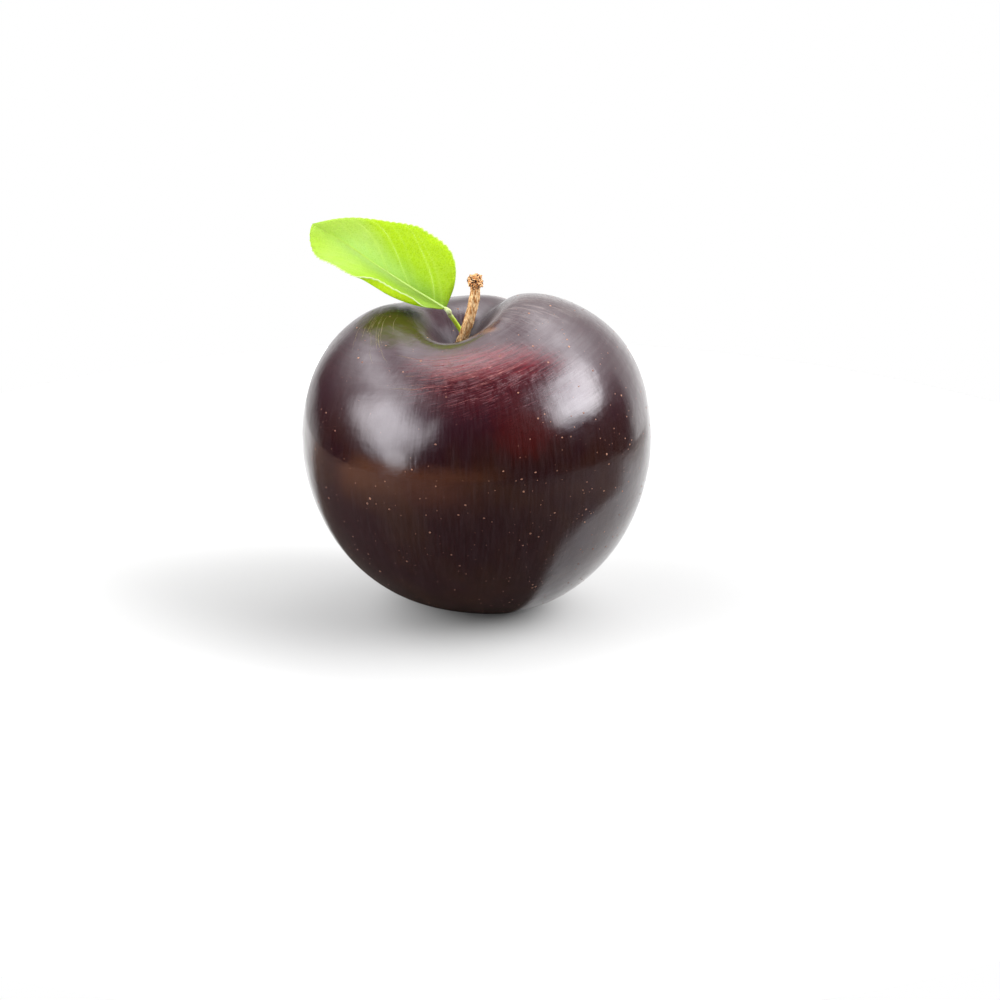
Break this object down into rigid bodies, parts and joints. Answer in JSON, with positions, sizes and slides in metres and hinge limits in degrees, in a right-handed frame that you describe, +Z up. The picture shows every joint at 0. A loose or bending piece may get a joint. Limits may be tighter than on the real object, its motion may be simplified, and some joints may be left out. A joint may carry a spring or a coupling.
{
  "type": "plum",
  "caption": "Whole ripe round plum with a suture groove, a stalk cavity, its short woody stalk and one toothed leaf, resting on a small flat spot.",
  "frame": {"origin": "centre of the small flat spot on the underside that the plum rests on", "axes": "+Z up, from the rest spot to the stalk; -Y is the front; the leaf reaches up to the left (-X) and back (+Y)"},
  "size_m": [0.065, 0.0642, 0.0704],
  "materials": {
    "fruit_skin": "glossy natural skin, near-black purple",
    "stalk_bark": "dry ridged bark, light tan",
    "leaf_green": "satin leaf, fresh yellow-green"
  },
  "bodies": {
    "root": {"fruit": "fruit_skin", "stalk": "stalk_bark", "leaf": "leaf_green"}
  },
  "joints": []
}
